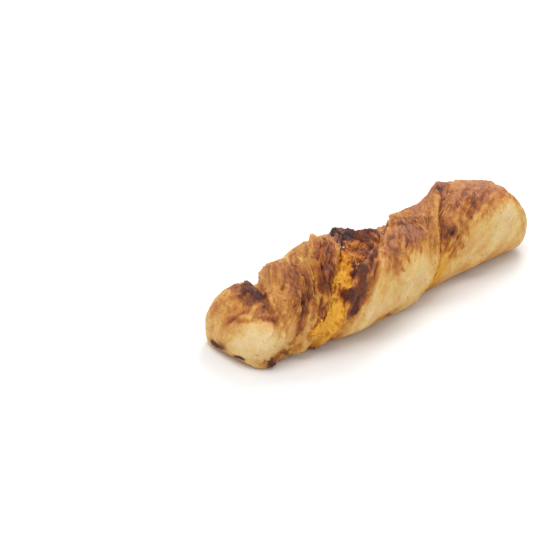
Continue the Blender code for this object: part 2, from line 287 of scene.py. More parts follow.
# Places where the straw baked unevenly, by kind, from the near end to the far end and then behind: station,
# bearing, half length and half width in mm, lean, strength. Lean is the angle in degrees of the long way,
# from along the straw towards a rising bearing. One pale row is a painted highlight, not a less baked place.
MARKS = {
    "pale": (
        # The row at station -82 and bearing 29 paints a highlight in the middle of the near lobe's belly.
        (-78.5, 16, 14.5, 8, 128, 0.18), (-82, -10, 9, 5, 10, 0.09), (-82, 29, 6, 3.4, 118, 0.12),
        (-86, 2, 16, 13, 108, 0.1), (-84, 52, 9, 6, 100, 0.14), (-87.2, 108, 11, 1.9, 90, 0.22),
        (-57, -24, 7, 4, 60, 0.14), (-44, 104, 9, 4.4, 60, 0.16), (-60, -8, 7, 4, 76, 0.16),
        (-31, 100, 7, 3.4, 56, 0.2), (-29.5, -10, 11, 4.4, 68, 0.22), (4, -2, 17, 9.5, 66, 0.14),
        (12, 14, 13, 5, 74, 0.1), (20.6, 8, 11, 1.8, 84, 0.12), (-11, 66, 9, 2.6, 60, 0.1),
        (-19, -9, 9, 4, 66, 0.1), (72, 18, 16, 5.5, 52, 0.3), (79.5, 16, 6.5, 4.4, 90, 0.14),
        (-15, 196, 13, 7, 60, 0.22), (38, 200, 13, 7, 60, 0.22), (-68, 200, 9, 6, 60, 0.2),
    ),
    "brown": (
        (-74.5, 62, 6, 3, 130, 0.16), (-80.3, 74, 5, 1.5, 144, 0.26), (-77.5, 84, 6, 3, 150, 0.12),
        (-71, 92, 8, 4.4, 110, 0.2), (-74.5, -14, 7, 4, 120, 0.2), (-69.5, 30, 9, 1.2, 84, 0.2),
        (-83, 124, 7, 2.4, 90, 0.08), (-83.2, 76, 4.4, 1, 100, 0.2), (-79.6, 62, 3.4, 2.6, 130, 0.1),
        (-75.4, 58, 5, 1.5, 124, 0.2), (-58.5, 33, 8, 1.6, 70, 0.16), (-64, 18, 7, 0.8, 84, 0.3),
        (-66, -6, 6, 0.8, 84, 0.3), (-57, 70, 8, 1.2, 66, 0.2), (-52, 84, 10, 1.4, 64, 0.18),
        (-53, 58, 6, 1.2, 68, 0.2), (-61.5, 24, 8, 2.6, 78, 0.2), (-55, 14, 6, 3.4, 70, 0.3),
        (-49, 36, 7, 2.2, 66, 0.2), (-34, 24, 13, 5, 68, 0.24), (-26, 34, 14, 4, 60, 0.24),
        (-20.5, 46, 9, 3, 62, 0.32), (-38.5, -8, 4, 1.6, 110, 0.28), (5, 62, 13, 6, 40, 0.16),
        (-5, 46, 12, 4, 56, 0.18), (16, 68, 13, 6, 60, 0.2), (30, 100, 12, 7, 60, 0.15),
        (14, 104, 10, 2, 20, 0.14), (19.5, 18, 9, 1.8, 80, 0.07), (33.8, 47, 3.6, 1.8, 108, 0.26),
        (37.4, 33, 3.4, 2.8, 120, 0.2), (42.6, 27, 2.6, 2.4, 120, 0.2), (46, 30, 4, 2.2, 100, 0.26),
        (42, 16, 4, 1.4, 112, 0.3), (38.6, 5, 5, 1.2, 100, 0.2), (48, 84, 10, 5.6, 60, 0.2),
        (37, 24, 8.5, 5.4, 100, 0.2), (37, 8, 6, 2.6, 100, 0.16), (33, 50, 8, 3, 80, 0.14),
        (60, 64, 14, 8, 40, 0.1), (54, 46, 12, 1.8, 38, 0.12), (62, 58, 14, 2.6, 34, 0.18),
        (57, 72, 14, 2, 38, 0.16), (56, 112, 7, 2.2, 45, 0.2), (80, 70, 12, 5, 50, 0.1),
        (20, 150, 14, 5, 50, 0.22), (-30, 165, 12, 5, 55, 0.2), (62, 160, 12, 4, 45, 0.22),
    ),
    "char": (
        (-71.6, 92, 6, 2.6, 106, 0.72), (-67, 104, 6, 2, 84, 0.68), (-75.6, 96, 3, 1, 140, 0.5),
        (-69.8, 112, 5, 2, 96, 0.66), (-62, 2, 4, 0.6, 80, 0.36), (-50, -45, 9, 0.9, 12, 0.6),
        (-63.5, 26, 5, 0.7, 82, 0.36), (-46, -36, 3, 1.2, 40, 0.5), (-40.5, 68, 6, 0.6, 60, 0.36),
        (-35, 76, 7, 0.6, 58, 0.36), (-44, 50, 5, 0.6, 64, 0.34), (-25.5, 92, 7, 1.8, 60, 0.6),
        (-13, 106, 8, 1.4, 42, 0.5), (1, 116, 8, 1.4, 34, 0.5), (-30.2, 45, 4.2, 2.3, 62, 0.7),
        (-33.4, 35, 3.6, 1.6, 100, 0.5), (-39.2, 20, 5, 2.6, 116, 0.68), (-36.4, 7, 4.4, 3, 66, 0.7),
        (-19.5, 108, 7, 3.6, 56, 0.6), (28.2, 28, 3, 0.8, 74, 0.34), (29.4, 17, 2.2, 0.8, 110, 0.4),
        (-13, -32, 8, 0.8, 4, 0.6), (12, 166, 7, 1.8, 60, 0.5), (-50, 172, 6, 1.4, 60, 0.45),
        (66, 186, 4, 1.6, 50, 0.45),
    ),
    "hole": (
        (-72.1, 68, 0.9, 0.9, 60, 0.8), (-57.5, 41, 1.9, 1.4, 74, 0.9), (37, 33, 1.9, 1.5, 150, 0.9),
        (48.6, 104, 3.4, 1.3, 44, 0.8),
    ),
}

# Burnt spots on the near tip: the middle of each in mm, its half size each way in mm, and its strength.
TIP_SPOTS = (
    ((-94.2, 10.5, 4.8), (3, 4.4, 1.9), 0.8), ((-94.4, 4.6, 6), (3, 3.4, 1.8), 0.76),
    ((-93, -6, 4.6), (3, 4.6, 1.2), 0.72), ((-84.5, -15.2, 4.2), (5, 3, 2.8), 0.7),
    ((-77, -15, 4.8), (5, 3, 2.2), 0.6), ((-90, -13.6, 9), (0.9, 0.9, 0.9), 0.6),
    ((-86, -14, 12.5), (0.7, 0.7, 0.7), 0.5),
)

# Browning along the folds: how much, half width in mm, and the stations and bearings that it runs through.
RUNS = (
    (0.34, 3.2, ((-31, 10), (-27, 26), (-22, 42), (-17.5, 56))), (0.1, 5, ((-14, 30), (-8, 44), (0, 62))),
    (0.12, 2.6, ((-33, 14), (-28, 26), (-23, 38))),
    (0.06, 2.4, ((-53, 20), (-49, 34), (-45, 50), (-40, 68), (-36, 84))),
    (0.14, 1.2, ((-56.6, 22), (-54.6, 28), (-50.6, 40), (-47, 52), (-43.6, 74), (-38.4, 94))),
    (-0.1, 0.7, ((-33.2, -26), (-29.9, -10), (-26.1, 6), (-22.3, 20), (-18.2, 32), (-14.4, 51),
        (-1.5, 79), (10.2, 100))),
    (-0.13, 1.7, ((18.8, -26), (20.4, -12), (22.4, 4), (24.4, 26), (27.6, 49), (36, 79), (46, 103))),
    (0.15, 1.2, ((24.8, -16), (26.6, 4), (28.6, 26), (31.6, 47), (40.6, 77), (52, 104))),
    (0.16, 3.6, ((-17, 30), (-10, 46), (0, 62), (10, 74), (20, 84))),
    (0.2, 2, ((-70, -8), (-66, -14), (-62, -20))),
    (-0.09, 1.8, ((46, -15), (54.4, -1), (63, 16), (68.2, 31), (76.5, 50))),
    (0.08, 1.6, ((55.2, -12), (61.3, 2), (69, 20), (73, 32))),
    (0.1, 1.8, ((90.5, -11), (86.8, 18), (85.5, 42))),
    (-0.13, 1, ((-68.6, 50), (-67.4, 70), (-64.4, 88), (-60.4, 106))),
)

# Hollows and swellings of the folds: station, bearing, half length and half width in mm, lean, height in mm.
SWELLS = (
    (-60, 134, 14, 3.6, 76, -3.4), (-65.6, 96, 8, 2.4, 78, -1.6), (-73.6, 118, 14, 6.8, 90, 3.2),
    (-68.8, 109, 5, 2.6, 84, -1.3), (-55, 118, 12, 3.6, 70, 0.6), (-46, 114, 9, 4.5, 62, -1.5),
    (-24, 118, 9, 5, 60, -2.2), (60, 124, 18, 8, 40, 1.2), (76, 112, 9, 7, 60, 1.4),
    (38, 112, 8, 4, 60, -0.8), (-69.5, -24, 8, 5, 110, -2.2), (-82, -28, 7, 5, 30, -1.2),
    (-72, 44, 12, 4, 84, -0.8), (-82, 36, 10, 9, 60, 0.7), (-80.8, 28, 6, 2, 60, -0.6),
    (-84.2, 42, 5, 1.8, 100, -0.5), (-76, 30, 7, 1.4, 80, 0.4), (-83, 12, 6, 2, 70, 0.45),
    (-62, 4, 9, 3.5, 76, 0.8), (32, 38, 12, 4, 72, -0.8), (13, 20, 16, 7, 70, 0.7),
    (94.6, 74, 12, 6, 90, -2.8), (62, 15, 14, 2, 37, 0.55), (67, 12, 10, 2.2, 38, -0.6),
    (80, 16, 6, 4, 90, -0.7), (16.2, 129, 7, 4.6, 54, -2.8), (-88.5, -24, 8, 5, 100, -1.5),
    (56.6, 111, 5, 3.4, 60, 1.5), (37, 33, 3.6, 3.2, 0, 0.7), (37, 33, 2, 1.6, 0, -1.3),
    (-57.5, 41, 2.4, 1.8, 0, -1),
)

# Torn edges of the layers: height and how fast it falls away in mm, the proud side (1 towards the far end, -1
# towards the near end), how dark the painted shade in the hollow beside it is, and the stations and bearings
# that it runs through.
TORN_EDGES = (
    (1.4, 8, 1, 0.3, ((-71.5, 18), (-71, 38), (-70.2, 55), (-69, 72), (-66, 90), (-62, 108), (-58.6, 128),
        (-54, 156))),
    (1.9, 7, 1, 0.1, ((-59.5, 10), (-56, 27), (-52.4, 38), (-49, 46), (-47.3, 56), (-45.4, 78),
        (-41.3, 95), (-36.3, 109), (-30, 124))),
    (0.8, 5, -1, 0.2, ((-52, 14), (-48, 30), (-43.5, 42), (-38.6, 62), (-31, 75))),
    (0.7, 4, 1, 0.16, ((-32.6, -29), (-29.9, -10), (-26.1, 6), (-22.3, 20), (-18.2, 32), (-14.4, 51),
        (-1.5, 79), (10.2, 100), (16, 116))),
    (0.7, 7, -1, 0.06, ((20.4, -28), (22.2, -12), (24.6, 4), (26.6, 26), (30, 49), (38.8, 79),
        (49.5, 104), (57, 122))),
    (1.5, 9, 1, 0.1, ((4, 88), (10, 100), (15.6, 114), (20.4, 128), (27, 146))),
    (0.55, 3, 1, 0.34, ((-80.4, 63), (-82.2, 70), (-83.6, 80), (-84.6, 92))),
    (0.6, 3.5, 1, 0.34, ((-70, 44), (-71.9, 51), (-75, 56), (-77.6, 63))),
    (1, 2.4, -1, 0.4, ((-77, 88), (-74.4, 91), (-72, 91), (-68.6, 84))),
    (0.9, 2, -1, 0.4, ((-76, 99), (-73, 100), (-70.6, 98), (-67.4, 92))),
    (0.7, 2, 1, 0.3, ((-83, 76), (-80, 72), (-76, 75), (-72.6, 74))),
    (0.5, 5, 1, 0.12, ((43, 22), (52, 34), (62, 49), (74, 62))),
    (0.45, 4, 1, 0.1, ((40, 44), (48, 58), (58, 74), (70, 84))),
    (0.9, 3, -1, 0.22, ((8, 99), (15, 95), (20, 87), (25, 75))),
    (0.7, 2.5, -1, 0.14, ((14, 110), (19.4, 104), (23, 94), (27, 82))),
    (0.45, 5, -1, 0.1, ((-4, 48), (6, 70), (17, 102))), (0.4, 4, -1, 0.08, ((9, 40), (15, 62), (24, 92))),
    (0.6, 4, -1, 0.2, ((-65, 6), (-62, 30), (-57.6, 52), (-54, 78), (-47, 104))),
    (0.5, 4, -1, 0.18, ((-61, 52), (-57, 76), (-51, 98), (-44, 122))),
    (0.6, 5, -1, 0.14, ((-44, 150), (-30, 190), (-20, 220))),
    (0.7, 6, 1, 0.14, ((14, 140), (26, 170), (42, 216))),
    (0.5, 5, -1, 0.1, ((-16, 130), (0, 168), (10, 200))),
    (0.6, 5, 1, 0.12, ((48, 130), (62, 168), (72, 200))),
)


def mark_amount(station, bearing, ragged, mark, soft=0.8):
    """How strongly one uneven place shows at a point, with a ragged edge."""
    at, facing, long, wide, lean, strength = mark
    along = station - at
    across = wrapped(bearing - facing) * ARC
    cosine, sine = math.cos(math.radians(lean)), math.sin(math.radians(lean))
    far = np.hypot((along * cosine + across * sine) / long, (across * cosine - along * sine) / wide)
    return strength * ease((1 + soft / 2 - far + 0.5 * ragged) / soft)


# The open edge's cheese: station, the bearings from the open edge where it starts and ends, how proud it
# stands in mm, and how toasted it is.
CHEESE_BAND = (
    (-62, 36, 44, -1.8, 0.35), (-58, 26, 46, -0.6, 0.14), (-54, 6, 40, 0.1, 0.06), (-50, -24, 28, 0.5, 0.04),
    (-45, -42, 18, 0.5, 0.06), (-40, -20, 15, 0.3, 0.14), (-35, -18, 12, 0.3, 0.16), (-30, -22, 12, 0.7, 0.2),
    (-25, -27, 16, 1.2, 0.4), (-18, -30, 20, 1.5, 0.54), (-10, -34, 20, 3.5, 0.56), (-2, -33, 17, 3.5, 0.56),
    (6, -24, 12, 0.6, 0.6), (14, -14, 9, -0.8, 0.64), (24, -10, 8, -0.6, 0.5), (36, -10, 9, -0.5, 0.42),
    (50, -9, 9, -0.8, 0.5), (60, -6, 6, -1.6, 0.6),
)
# Where it boiled over the lip and burnt, and where it shows in the seam, with the same columns.
BURNT_BAND = (
    (-38, 16, 24, -1.4, 0.7), (-33, 10, 28, -0.8, 0.7), (-27, 8, 32, -1.1, 0.8), (-20, 4, 35, -0.4, 0.9),
    (-13, -2, 34, 0.7, 0.84), (-6, -4, 28, 2.3, 0.72), (2, -6, 20, 1.6, 0.6), (9, -4, 14, -0.4, 0.66),
    (14, 2, 10, -0.9, 0.9),
)
SEAM_BAND = (
    (-44, 176, 182, -2.6, 0.5), (-26, 175, 184, -1.4, 0.4), (0, 172, 180, -1.4, 0.3),
    (14, 150, 168, -0.7, 0.12), (21, 140, 164, -0.2, 0.04), (26, 148, 170, -0.2, 0.08),
    (31, 160, 178, -0.9, 0.16), (37, 168, 180, -2.2, 0.3), (44, 172, 180, -3, 0.4),
)


def beside(station, bearing, path):
    """Distance in mm from a path over the crust, positive towards the far end, and how far past its ends."""
    across = wrapped(bearing - path[0][1]) * ARC
    nearest = np.full(across.shape, 1e9)
    signed = np.zeros(across.shape)
    beyond = np.zeros(across.shape)
    for number, ((s0, b0), (s1, b1)) in enumerate(zip(path[:-1], path[1:])):
        u, v = s1 - s0, (b1 - b0) * ARC
        length = math.hypot(u, v)
        x, y = station - s0, across - (b0 - path[0][1]) * ARC
        along = (x * u + y * v) / length
        inside = np.clip(along, 0, length)
        gap = np.hypot(x - inside * u / length, y - inside * v / length)
        closer = gap < nearest
        side = np.where(x * v - y * u > 0, 1, -1)
        past = np.zeros(across.shape)
        if number == 0:
            past = np.maximum(past, -along)
        if number == len(path) - 2:
            past = np.maximum(past, along - length)
        nearest = np.where(closer, gap, nearest)
        signed = np.where(closer, side * gap, signed)
        beyond = np.where(closer, past, beyond)
    return signed, beyond


def torn_relief(station, edge, places):
    """The lift of the torn layer edges, and a tint beside them: painted shade in the hollow at their foot and
    a paler rim on their proud side.
    """
    bearing = edge + turn(station)
    ragged = clouds(places, 2.6, 41, 3, 0.6)
    lift, rim_and_shade_tint = 0, 0
    for swell in SWELLS:
        lift = lift + mark_amount(station, bearing, 0.25 * ragged, swell, 1.3)
    for height, fall, side, dark, path in TORN_EDGES:
        away, beyond = beside(station, bearing, path)
        away = away * side + 0.55 * ragged
        reach = ease(1 - beyond / 5) * (0.75 + 0.5 * ragged)
        lift = lift + reach * height * ease((away + 0.5) / 0.9) * np.exp(-np.clip(away, 0, None) / fall)
        lift = lift - reach * 0.5 * height * bump(away, 1, -1.2, 1.3)
        # Painted shade darkens the hollow at the edge's foot; the rim on its proud side is paler.
        rim_and_shade_tint = rim_and_shade_tint + reach * (0.6 * dark * bump(away, 1, -1.2, 1.2) - 0.12 * bump(away, 1, 0.7, 0.7))
    return lift, rim_and_shade_tint


def smooth_top(station, bearing):
    """How much the top of the second fold keeps a smooth skin."""
    return bump(station, 0.75, -64, 7) * ease((bearing - 50) / 26)


def browning(station, edge, places):
    """How far each point of the crust is baked, burnt and stained by cheese, with a painted highlight on the
    near lobe's belly.
    """
    bearing = wrapped(edge + turn(station))
    strip = wavy_strip(station, edge, places)
    folded = np.where(np.abs(bearing) > 90, 180 - np.abs(bearing), np.abs(bearing)) * np.sign(bearing)
    ragged = clouds(places, 3.2, 11, 4, 0.62)
    broad = clouds(places, 15, 12, 2)
    body = stretch(station, TIP_NEAR + 0.5, 11, TIP_FAR - 1, 12)
    along = 0.55 + 0.45 * stretch(station, -72, 12, 44, 20)
    streak = clouds(strip, (11, 1.7, 1.7), 13, 3, 0.62) * body * along
    fine = clouds(strip, (5, 0.75, 0.75), 14, 2) * body
    near = wrapped(edge)
    mottle = 0.6 * ragged + 0.55 * clouds(places, 1.4, 16, 3, 0.6)
    rise = ease((folded + 12 * broad + 14 * ragged + 8 * streak - 20) / 46)
    torn = bump(station, 1, -54, 14) * ease((near + 5) / 30) * (1 - smooth_top(station, bearing))
    bake = 0.27 + (0.31 + 0.04 * ease((station - 20) / 14)) * rise + 0.1 * torn
    bake = bake + 0.08 * ease((-folded - 16) / 16) * (1 - bump(station, 0.8, -84, 12))
    bake = bake + (0.075 + 0.135 * torn) * streak + (0.025 + 0.03 * torn) * fine
    bake = bake + 0.07 * broad + 0.07 * clouds(places, 5, 17, 3, 0.6)
    bake = bake + 0.13 * (ease((mottle + 0.05) / 0.5) - 0.35) * (0.25 + 0.75 * rise)
    bake = bake + 0.12 * (1 - ease((TIP_FAR - station) / 12)) + 0.03 * (1 - ease((station - TIP_NEAR) / 5))
    lips = bump(near, 1, 37, 13) * stretch(station, -62, 12, -8, 14)
    lips = lips + bump(near, 0.8, -34, 10) * stretch(station, -52, 10, 6, 18)
    lips = lips + 0.5 * bump(np.abs(near) - 30, 1, 0, 10) * ease((station - 4) / 10) * open_run(station)
    bake = bake + lips * (0.06 + 0.26 * streak + 0.14 * fine)
    bake = bake - 0.05 * bump(station, 1, -84, 8) - 0.2 * bump(station, 1, -79, 8) * rise
    char = np.zeros(bake.shape)
    for mark in MARKS["pale"]:
        bake = bake - mark_amount(station, bearing, ragged + 0.6 * streak, mark, 1.5)
    for mark in MARKS["brown"]:
        amount = mark_amount(station, bearing, ragged + 0.5 * streak, mark)
        bake = bake + amount * (0.85 + 0.3 * streak + 0.3 * mottle)
    for kind, streaky in (("char", 0.5), ("hole", 0)):
        for mark in MARKS[kind]:
            char = np.maximum(char, mark_amount(station, bearing, ragged + streaky * streak, mark))
            at, facing, long, wide, lean, strength = mark
            halo = (at, facing, long + 2.2, wide + 1.8, lean, 0.3 * strength)
            bake = bake + mark_amount(station, bearing, ragged, halo)
    for (x, y, z), sizes, strength in TIP_SPOTS:
        off = np.sqrt((((places - np.array([x, y, z])) / np.array(sizes)) ** 2).sum(-1))
        char = np.maximum(char, strength * ease((1.4 - off + 0.8 * ragged) / 0.9))
        bake = bake + 0.16 * strength * ease((2 - off + 0.5 * ragged) / 1.2)
    for amount, wide, path in RUNS:
        away, beyond = beside(station, bearing, path)
        shown = bump(away + 0.3 * wide * ragged, 1, 0, wide) * ease(1 - beyond / 6)
        bake = bake + amount * shown * (0.85 + 0.5 * streak)
    slower = 0.55 + 0.45 * np.clip(lips, 0, 1)
    bake = np.where(bake > DARK_KNEE, DARK_KNEE + (bake - DARK_KNEE) * slower, bake)
    bake = np.where(bake < PALE_KNEE, PALE_KNEE * np.exp(np.clip((bake - PALE_KNEE) / 0.3, -4, 0)), bake)
    low = ease((1.6 - places[..., 2]) / 1.4)
    bake = bake + low * (0.16 + 0.22 * clouds(places, 5, 15, 2))
    stain = bump(wrapped(edge - 134), 1, 0, 34) * bump(station, 1, 28, 9) * ease((42 - bearing) / 30)
    pooled = ease((70 - np.abs(wrapped(edge + 4))) / 30) * bump(station, 1, -48, 13)
    stain = np.clip(stain * (1.4 + ragged) + pooled * (0.75 + 0.6 * ragged), 0, 1)
    return bake, np.clip(char, 0, 1), stain


def groove(station, edge):
    """How far the crust dips under the melted cheese, in mm."""
    near = wrapped(edge)
    wobble = clouds(strip_places(station, edge), (6, 4, 4), 21, 2)
    depth = 0
    for band, deep in ((CHEESE_BAND, 4.6), (SEAM_BAND, 1.1)):
        left, right = curve(station, band)[:2]
        off = np.abs(wrapped(near - (left + right) / 2)) - (right - left) / 2
        inside = stretch(station, band[0][0], 6, band[-1][0], 6)
        depth = depth + deep * inside * ease((1 + 1.5 * wobble - off) / 6)
    return depth


def sideways_push(station, edge):
    """How far the lips lean over the open edge and the seam, in mm round the straw."""
    near = wrapped(edge)
    lean = bump(near, -1.5, 24, 9) + bump(near, 1.2, -23, 8) + bump(wrapped(near - 186), -0.3, 0, 8)
    return lean * open_run(station)


def crust_detail(station, edge, places, bake, char):
    """Fine relief of the crust: layer edges, wrinkles, flaked skin and burnt crumbs."""
    strip = wavy_strip(station, edge, places)
    near = wrapped(edge)
    calm = smooth_top(station, wrapped(edge + turn(station)))
    torn = bump(station, 1, -56, 17) * ease((near + 5) / 30) * (1 - calm)
    lips = bump(near, 1, 34, 15) + bump(near, 0.7, -31, 11) + bump(np.abs(near), 0.8, 172, 9)
    layered = np.clip(0.12 + 0.8 * torn + 0.55 * lips * open_run(station), 0, 1)
    drift = clouds(strip, (22, 7, 7), 31, 3) * 2.4
    step = (near * ARC / LAYER_STEP + drift) % 1
    stairs = step - ease((step - 0.8) / 0.2)
    ribs = clouds(strip, (11, 1.3, 1.3), 32, 3, 0.6)
    blister = clouds(places, 4.6, 33, 3, 0.62)
    pores = clouds(places, 1.25, 34, 2, 0.6)
    skin = clouds(strip, (9, 3.2, 3.2), 35, 4, 0.62)
    flaked = ease((skin - 0.12) / 0.09)
    mottled = ease((bake - 0.38) / 0.2)
    lift = layered * (0.85 * stairs + 0.6 * ribs) + (0.22 + 0.02 * mottled) * ribs
    lift = lift + (0.2 + 0.4 * mottled) * blister + (0.06 + 0.1 * mottled) * pores
    lift = lift - 0.34 * flaked * mottled
    crumbs = np.abs(clouds(places, 1.7, 36, 3, 0.7))
    lift = lift + char * (1 - 2.4 * crumbs + 0.5 * blister)
    fade = stretch(station, TIP_NEAR, 9, TIP_FAR, 9)
    # The tint paints shade at the foot of each layer step and in the hollows between the ribs, and pales their
    # proud rims and the flaked skin.
    rim_and_shade_tint = layered * fade * (0.1 * (0.45 - stairs) - 0.09 * ribs) - 0.1 * flaked * mottled - 0.015 * ribs
    return lift * (0.2 + 0.8 * fade), rim_and_shade_tint


def ring_stations(low, high, rings, tip_weight):
    """Stations of a mesh's rings: closer together where the strip turns fast and where the tips round off."""
    fine = np.linspace(low, high, 3000)
    turned = np.gradient(np.radians(turn(fine)), fine) * 12
    tips = tip_weight * (np.exp(-(fine - low) / 4) + np.exp((fine - high) / 4))
    pace = np.sqrt(1 + turned**2) + tips
    gone = np.concatenate([[0], np.cumsum((pace[1:] + pace[:-1]) / 2)])
    return np.interp(np.linspace(0, gone[-1], rings + 1), gone, fine)


def ball(columns, rings):
    """A closed ball mesh, and the ring and the column of each of its vertices."""
    mesh = bmesh.new()
    bmesh.ops.create_uvsphere(mesh, u_segments=columns, v_segments=rings, radius=1)
    at = np.array([vertex.co[:] for vertex in mesh.verts])
    ring = np.rint(np.arccos(np.clip(at[:, 2], -1, 1)) / math.pi * rings).astype(int)
    column = np.rint(np.arctan2(at[:, 1], at[:, 0]) / (2 * math.pi) * columns).astype(int) % columns
    return mesh, ring, column


def as_piece(mesh, name, places, values, material, node):
    """An object made from a mesh whose vertices go to the given places in mm, riding on the straw."""
    data = bpy.data.meshes.new(name)
    mesh.to_mesh(data)
    mesh.free()
    data.vertices.foreach_set("co", (places * MM).astype(np.float32).ravel())
    data.update()
    check = bmesh.new()
    check.from_mesh(data)
    bmesh.ops.recalc_face_normals(check, faces=check.faces[:])
    if check.calc_volume(signed=True) < 0:
        bmesh.ops.reverse_faces(check, faces=check.faces[:])
    check.to_mesh(data)
    check.free()
    data.polygons.foreach_set("use_smooth", [True] * len(data.polygons))
    for label, amounts in values.items():
        layer = data.attributes.new(label, "FLOAT", "POINT")
        each = np.broadcast_to(amounts, (len(data.vertices),)).astype(np.float32)
        layer.data.foreach_set("value", each.copy())
    data.materials.append(material)
    made = bpy.data.objects.new(name, data)
    bpy.context.scene.collection.objects.link(made)
    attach(made, "root")
    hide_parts(node)
    return made


def linear(shade):
    """A colour given as screen values, in the renderer's linear values."""
    return tuple(((part + 0.055) / 1.055) ** 2.4 if part > 0.04045 else part / 12.92 for part in shade)


def put(tree, node, **inputs):
    """Sets a node's inputs: i0, i1 and so on by place, others by label. Sockets are joined, values are set."""
    for label, value in inputs.items():
        socket = node.inputs[int(label[1:])] if label[1:].isdigit() else node.inputs[label.replace("_", " ")]
        if isinstance(value, bpy.types.NodeSocket):
            tree.links.new(value, socket)
        else:
            socket.default_value = value
    return node


def scaled(tree, value, share, offset=0, clamp=False):
    """A socket times a share plus an offset."""
    node = put(tree, tree.nodes.new("ShaderNodeMath"), i0=value, i1=share, i2=offset)
    node.operation = "MULTIPLY_ADD"
    node.use_clamp = clamp
    return node.outputs[0]


def summed(tree, first, second, clamp=False):
    """Two sockets added."""
    node = put(tree, tree.nodes.new("ShaderNodeMath"), i0=first, i1=second)
    node.operation = "ADD"
    node.use_clamp = clamp
    return node.outputs[0]


def blended(tree, mode, amount, first, second):
    """Two colours mixed by an amount."""
    node = tree.nodes.new("ShaderNodeMix")
    node.data_type = "RGBA"
    node.blend_type = mode
    put(tree, node, i0=amount, i6=first, i7=second)
    return node.outputs[2]


def ramped(tree, level, stops):
    """A colour ramp through (position, screen colour) stops."""
    node = put(tree, tree.nodes.new("ShaderNodeValToRGB"), Fac=level)
    ramp = node.color_ramp
    while len(ramp.elements) < len(stops):
        ramp.elements.new(0.5)
    for element, (position, shade) in zip(ramp.elements, stops):
        element.position = position
        element.color = (*linear(shade), 1)
    return node.outputs[0]


def painted(tree, label):
    """An amount kept on the piece's vertices."""
    node = tree.nodes.new("ShaderNodeAttribute")
    node.attribute_name = label
    return node.outputs["Fac"]


def grain(tree, steps, detail, rough):
    """Noise in the straw's own coordinates, with so many steps to the metre."""
    where = tree.nodes.new("ShaderNodeTexCoord").outputs["Object"]
    node = tree.nodes.new("ShaderNodeTexNoise")
    put(tree, node, Vector=where, Scale=steps, Detail=detail, Roughness=rough)
    return node.outputs["Fac"]


def bumped(tree, shader, height, strength, distance):
    """Fine relief of the surface, its depth in metres."""
    node = put(tree, tree.nodes.new("ShaderNodeBump"), Strength=strength, Distance=distance, Height=height)
    tree.links.new(node.outputs[0], shader.inputs["Normal"])


def new_finish(name):
    """A new material, its node tree and its shader."""
    material = bpy.data.materials.new(name)
    material.use_nodes = True
    tree = material.node_tree
    return material, tree, tree.nodes["Principled BSDF"]


def crust_finish(look):
    """Baked puff pastry: pale to dark brown by browning, painted shade and highlight, burnt in spots, stained
    orange by cheese.
    """
    material, tree, shader = new_finish("baked_crust")
    speckle = grain(tree, 900, 5, 0.72)
    patches = grain(tree, 260, 4, 0.65)
    bake = painted(tree, "bake")
    level = summed(tree, bake, scaled(tree, speckle, 0.48, -0.24))
    level = summed(tree, level, scaled(tree, patches, 0.3, -0.15))
    stops = ((0, look.pale), (0.22, look.cream), (0.42, look.golden), (0.6, look.brown), (0.8, look.dark))
    shade = ramped(tree, level, stops + ((1, look.burnt),))
    specks = scaled(tree, grain(tree, 560, 1, 0.5), 9, -6.2, clamp=True)
    shade = blended(tree, "MULTIPLY", specks, shade, (*linear(look.speck), 1))
    blush = scaled(tree, grain(tree, 95, 3, 0.6), 2.6, -1.1, clamp=True)
    shade = blended(tree, "MULTIPLY", blush, shade, (*linear(look.blush), 1))
    stain = summed(tree, painted(tree, "stain"), scaled(tree, patches, 0.5, -0.25), clamp=True)
    shade = blended(tree, "MULTIPLY", stain, shade, (*linear(look.stain), 1))
    char = painted(tree, "char")
    heart = summed(tree, char, scaled(tree, grain(tree, 420, 4, 0.75), 2.4, -1.25))
    soot = ramped(tree, heart, ((0.25, look.scorch), (0.6, look.plum), (0.95, look.soot)))
    cover = summed(tree, scaled(tree, char, 2.2, -0.55), scaled(tree, speckle, 0.9, -0.45), clamp=True)
    shade = blended(tree, "MIX", cover, shade, soot)
    gloss = summed(tree, scaled(tree, speckle, 0.3, look.roughness - 0.03), scaled(tree, level, -0.36))
    gloss = summed(tree, gloss, scaled(tree, char, 0.3))
    put(tree, shader, Base_Color=shade, Roughness=gloss, Specular_IOR_Level=0.28)
    put(tree, shader, Subsurface_Weight=0.1, Subsurface_Radius=(1, 0.5, 0.25), Subsurface_Scale=0.0015)
    bumped(tree, shader, grain(tree, 1300, 5, 0.7), 0.6, 0.0006)
    return material


def cheese_finish(look):
    """Melted cheese: orange and glossy, brown where it caught, black where it burnt."""
    material, tree, shader = new_finish("melted_cheese")
    speckle = scaled(tree, grain(tree, 750, 5, 0.7), 0.56, -0.28)
    level = summed(tree, painted(tree, "toast"), speckle, clamp=True)
    stops = ((0, look.yellow), (0.22, look.orange), (0.5, look.toasted), (0.74, look.amber), (1, look.black))
    shade = ramped(tree, level, stops)
    gloss = scaled(tree, level, 0.3, look.roughness)
    put(tree, shader, Base_Color=shade, Roughness=gloss, Specular_IOR_Level=0.2)
    put(tree, shader, Subsurface_Weight=0.06, Subsurface_Radius=(1, 0.5, 0.1), Subsurface_Scale=0.0018)
    bumped(tree, shader, grain(tree, 1100, 4, 0.65), 0.5, 0.0007)
    return material


